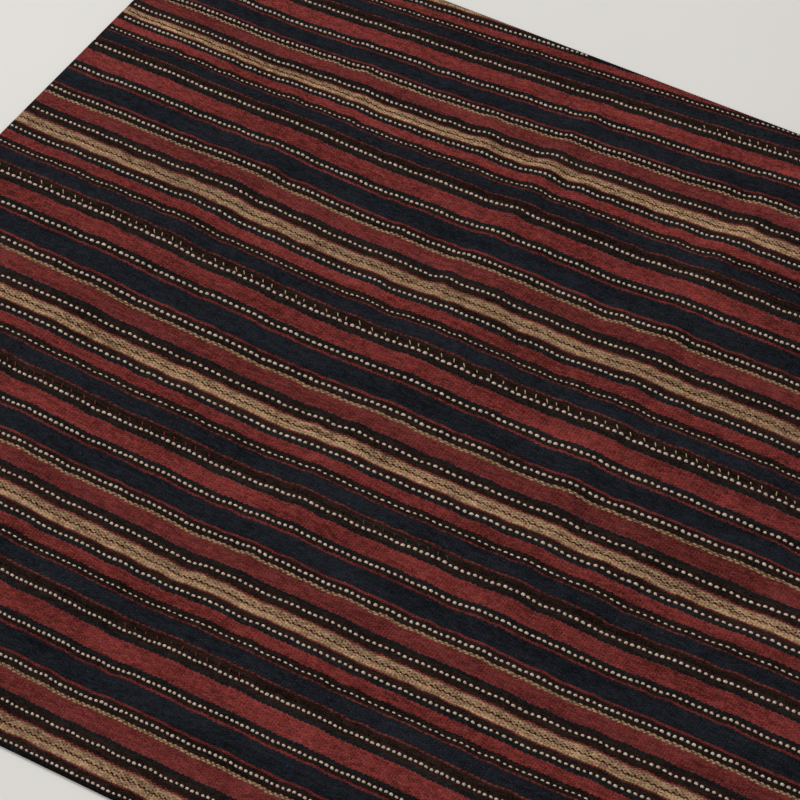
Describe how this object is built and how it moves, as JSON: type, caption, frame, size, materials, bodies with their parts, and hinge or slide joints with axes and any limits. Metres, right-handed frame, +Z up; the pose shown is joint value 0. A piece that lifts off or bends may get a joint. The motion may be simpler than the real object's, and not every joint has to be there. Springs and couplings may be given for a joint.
{
  "type": "kilim",
  "caption": "Cut length of a striped flat-woven wool kilim, narrow strips sewn edge to edge, lying on the floor in low uneven ripples.",
  "frame": {"origin": "on the floor, under the middle of the cloth", "axes": "+X along the stripes, +Y across them towards the far side, +Z up"},
  "size_m": [0.994, 0.976, 0.0092],
  "materials": {
    "wool": "matt warp-faced wool in red, navy, brown-black and tan stripes with white dots"
  },
  "bodies": {
    "root": {"strip_1": "wool", "strip_2": "wool", "strip_3": "wool", "strip_4": "wool", "strip_5": "wool", "strip_6": "wool"}
  },
  "joints": []
}
